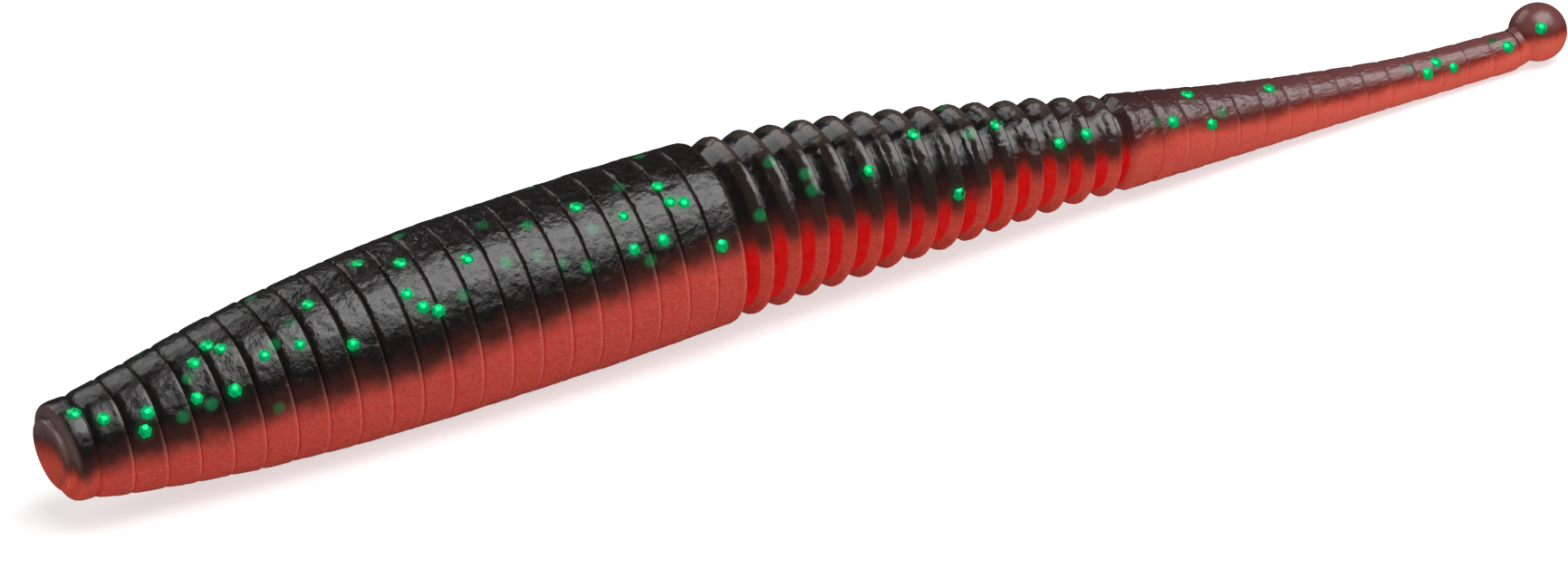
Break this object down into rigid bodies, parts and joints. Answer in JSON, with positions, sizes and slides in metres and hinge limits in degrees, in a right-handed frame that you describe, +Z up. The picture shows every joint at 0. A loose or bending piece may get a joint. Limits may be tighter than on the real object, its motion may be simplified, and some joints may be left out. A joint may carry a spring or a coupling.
{
  "type": "soft plastic worm",
  "caption": "Slender ringed soft plastic worm with a blunt nose, deep mid-body ribs, a thin tapering tail and a ball tip, dark back over red belly with green glitter.",
  "frame": {"origin": "centre of the footprint on the surface that the belly rests on, halfway along the length", "axes": "-X towards the blunt nose, +X towards the ball tip, +Z up through the dark back, Y across"},
  "size_m": [0.1017, 0.0114, 0.0112],
  "materials": {
    "back_plastisol": "glossy translucent black plastisol with fine wrinkles",
    "belly_plastisol": "satin translucent red plastisol with a pale haze",
    "glitter": "metallic emerald hexagonal flakes"
  },
  "bodies": {
    "nose": {"nose_back": "back_plastisol", "nose_belly": "belly_plastisol", "nose_glitter": "glitter"},
    "front_1": {"front_1_back": "back_plastisol", "front_1_belly": "belly_plastisol", "front_1_glitter": "glitter"},
    "front_2": {"front_2_back": "back_plastisol", "front_2_belly": "belly_plastisol", "front_2_glitter": "glitter"},
    "front_3": {"front_3_back": "back_plastisol", "front_3_belly": "belly_plastisol", "front_3_glitter": "glitter"},
    "front_4": {"front_4_back": "back_plastisol", "front_4_belly": "belly_plastisol", "front_4_glitter": "glitter"},
    "ribs_1": {"ribs_1_back": "back_plastisol", "ribs_1_belly": "belly_plastisol", "ribs_1_glitter": "glitter"},
    "ribs_2": {"ribs_2_back": "back_plastisol", "ribs_2_belly": "belly_plastisol", "ribs_2_glitter": "glitter"},
    "ribs_3": {"ribs_3_back": "back_plastisol", "ribs_3_belly": "belly_plastisol", "ribs_3_glitter": "glitter"},
    "ribs_4": {"ribs_4_back": "back_plastisol", "ribs_4_belly": "belly_plastisol", "ribs_4_glitter": "glitter"},
    "ribs_5": {"ribs_5_back": "back_plastisol", "ribs_5_belly": "belly_plastisol", "ribs_5_glitter": "glitter"},
    "tail_1": {"tail_1_back": "back_plastisol", "tail_1_belly": "belly_plastisol", "tail_1_glitter": "glitter"},
    "tail_2": {"tail_2_back": "back_plastisol", "tail_2_belly": "belly_plastisol", "tail_2_glitter": "glitter"},
    "tail_3": {"tail_3_back": "back_plastisol", "tail_3_belly": "belly_plastisol", "tail_3_glitter": "glitter"},
    "tail_4": {"tail_4_back": "back_plastisol", "tail_4_belly": "belly_plastisol", "tail_4_glitter": "glitter"},
    "tail_5": {"tail_5_back": "back_plastisol", "tail_5_belly": "belly_plastisol", "tail_5_glitter": "glitter"},
    "tail_6": {"tail_6_back": "back_plastisol", "tail_6_belly": "belly_plastisol", "tail_6_glitter": "glitter"},
    "tail_7": {"tail_7_back": "back_plastisol", "tail_7_belly": "belly_plastisol", "tail_7_glitter": "glitter"}
  },
  "joints": [
    {"name": "nose_side_bend", "type": "hinge", "parent": "front_1", "child": "nose", "pos_m": [-0.03957, 0, 0.00478], "axis": [0, 0.015, 0.9999], "range_deg": [-6, 6], "stiffness_Nm_per_rad": 0.00115},
    {"name": "front_1_lift_bend", "type": "hinge", "parent": "front_2", "child": "front_1", "pos_m": [-0.032, 0, 0.00515], "axis": [0.015, 0.9999, 0], "range_deg": [0, 6], "stiffness_Nm_per_rad": 0.0026},
    {"name": "front_2_side_bend", "type": "hinge", "parent": "front_3", "child": "front_2", "pos_m": [-0.02441, 0, 0.00543], "axis": [0, 0.015, 0.9999], "range_deg": [-6, 6], "stiffness_Nm_per_rad": 0.00326},
    {"name": "front_3_lift_bend", "type": "hinge", "parent": "front_4", "child": "front_3", "pos_m": [-0.01683, 0, 0.00556], "axis": [0.015, 0.9999, 0], "range_deg": [0, 6], "stiffness_Nm_per_rad": 0.00324},
    {"name": "ribs_1_side_bend", "type": "hinge", "parent": "front_4", "child": "ribs_1", "pos_m": [-0.00876, 0, 0.00565], "axis": [0, -0.015, -0.9999], "range_deg": [-9, 9], "stiffness_Nm_per_rad": 0.00209},
    {"name": "ribs_2_lift_bend", "type": "hinge", "parent": "ribs_1", "child": "ribs_2", "pos_m": [-0.00308, 0, 0.00547], "axis": [-0.015, -0.9999, 0], "range_deg": [0, 9], "stiffness_Nm_per_rad": 0.00186},
    {"name": "ribs_3_side_bend", "type": "hinge", "parent": "ribs_2", "child": "ribs_3", "pos_m": [0.00261, 0, 0.00507], "axis": [0, -0.015, -0.9999], "range_deg": [-9, 9], "stiffness_Nm_per_rad": 0.00118},
    {"name": "ribs_4_lift_bend", "type": "hinge", "parent": "ribs_3", "child": "ribs_4", "pos_m": [0.00829, 0, 0.00453], "axis": [-0.015, -0.9999, 0], "range_deg": [0, 9], "stiffness_Nm_per_rad": 0.000607},
    {"name": "ribs_5_side_bend", "type": "hinge", "parent": "ribs_4", "child": "ribs_5", "pos_m": [0.01398, 0, 0.00391], "axis": [0, -0.015, -0.9999], "range_deg": [-9, 9], "stiffness_Nm_per_rad": 0.000322},
    {"name": "tail_1_lift_bend", "type": "hinge", "parent": "ribs_5", "child": "tail_1", "pos_m": [0.01762, 0, 0.00345], "axis": [-0.015, -0.9999, 0], "range_deg": [0, 14], "stiffness_Nm_per_rad": 0.000199},
    {"name": "tail_2_side_bend", "type": "hinge", "parent": "tail_1", "child": "tail_2", "pos_m": [0.0222, 0, 0.00295], "axis": [0, -0.015, -0.9999], "range_deg": [-14, 14], "stiffness_Nm_per_rad": 0.000243},
    {"name": "tail_3_lift_bend", "type": "hinge", "parent": "tail_2", "child": "tail_3", "pos_m": [0.02599, 0, 0.00255], "axis": [-0.015, -0.9999, 0], "range_deg": [0, 14], "stiffness_Nm_per_rad": 0.000147},
    {"name": "tail_4_side_bend", "type": "hinge", "parent": "tail_3", "child": "tail_4", "pos_m": [0.02978, 0, 0.0022], "axis": [0, -0.015, -0.9999], "range_deg": [-14, 14], "stiffness_Nm_per_rad": 0.0000785},
    {"name": "tail_5_lift_bend", "type": "hinge", "parent": "tail_4", "child": "tail_5", "pos_m": [0.03357, 0, 0.0019], "axis": [-0.015, -0.9999, 0], "range_deg": [0, 14], "stiffness_Nm_per_rad": 0.0000426},
    {"name": "tail_6_side_bend", "type": "hinge", "parent": "tail_5", "child": "tail_6", "pos_m": [0.03736, 0, 0.00163], "axis": [0, -0.015, -0.9999], "range_deg": [-14, 14], "stiffness_Nm_per_rad": 0.00004},
    {"name": "tail_7_lift_bend", "type": "hinge", "parent": "tail_6", "child": "tail_7", "pos_m": [0.04305, 0, 0.00139], "axis": [-0.015, -0.9999, 0], "range_deg": [0, 14], "stiffness_Nm_per_rad": 0.00004}
  ],
  "couplings": [
    {"joint": "front_2_side_bend", "follows": "nose_side_bend", "ratio": 1},
    {"joint": "front_3_lift_bend", "follows": "front_1_lift_bend", "ratio": 1},
    {"joint": "ribs_3_side_bend", "follows": "ribs_1_side_bend", "ratio": 1},
    {"joint": "ribs_4_lift_bend", "follows": "ribs_2_lift_bend", "ratio": 1},
    {"joint": "ribs_5_side_bend", "follows": "ribs_1_side_bend", "ratio": 1},
    {"joint": "tail_3_lift_bend", "follows": "tail_1_lift_bend", "ratio": 1},
    {"joint": "tail_4_side_bend", "follows": "tail_2_side_bend", "ratio": 1},
    {"joint": "tail_5_lift_bend", "follows": "tail_1_lift_bend", "ratio": 1},
    {"joint": "tail_6_side_bend", "follows": "tail_2_side_bend", "ratio": 1},
    {"joint": "tail_7_lift_bend", "follows": "tail_1_lift_bend", "ratio": 1}
  ]
}
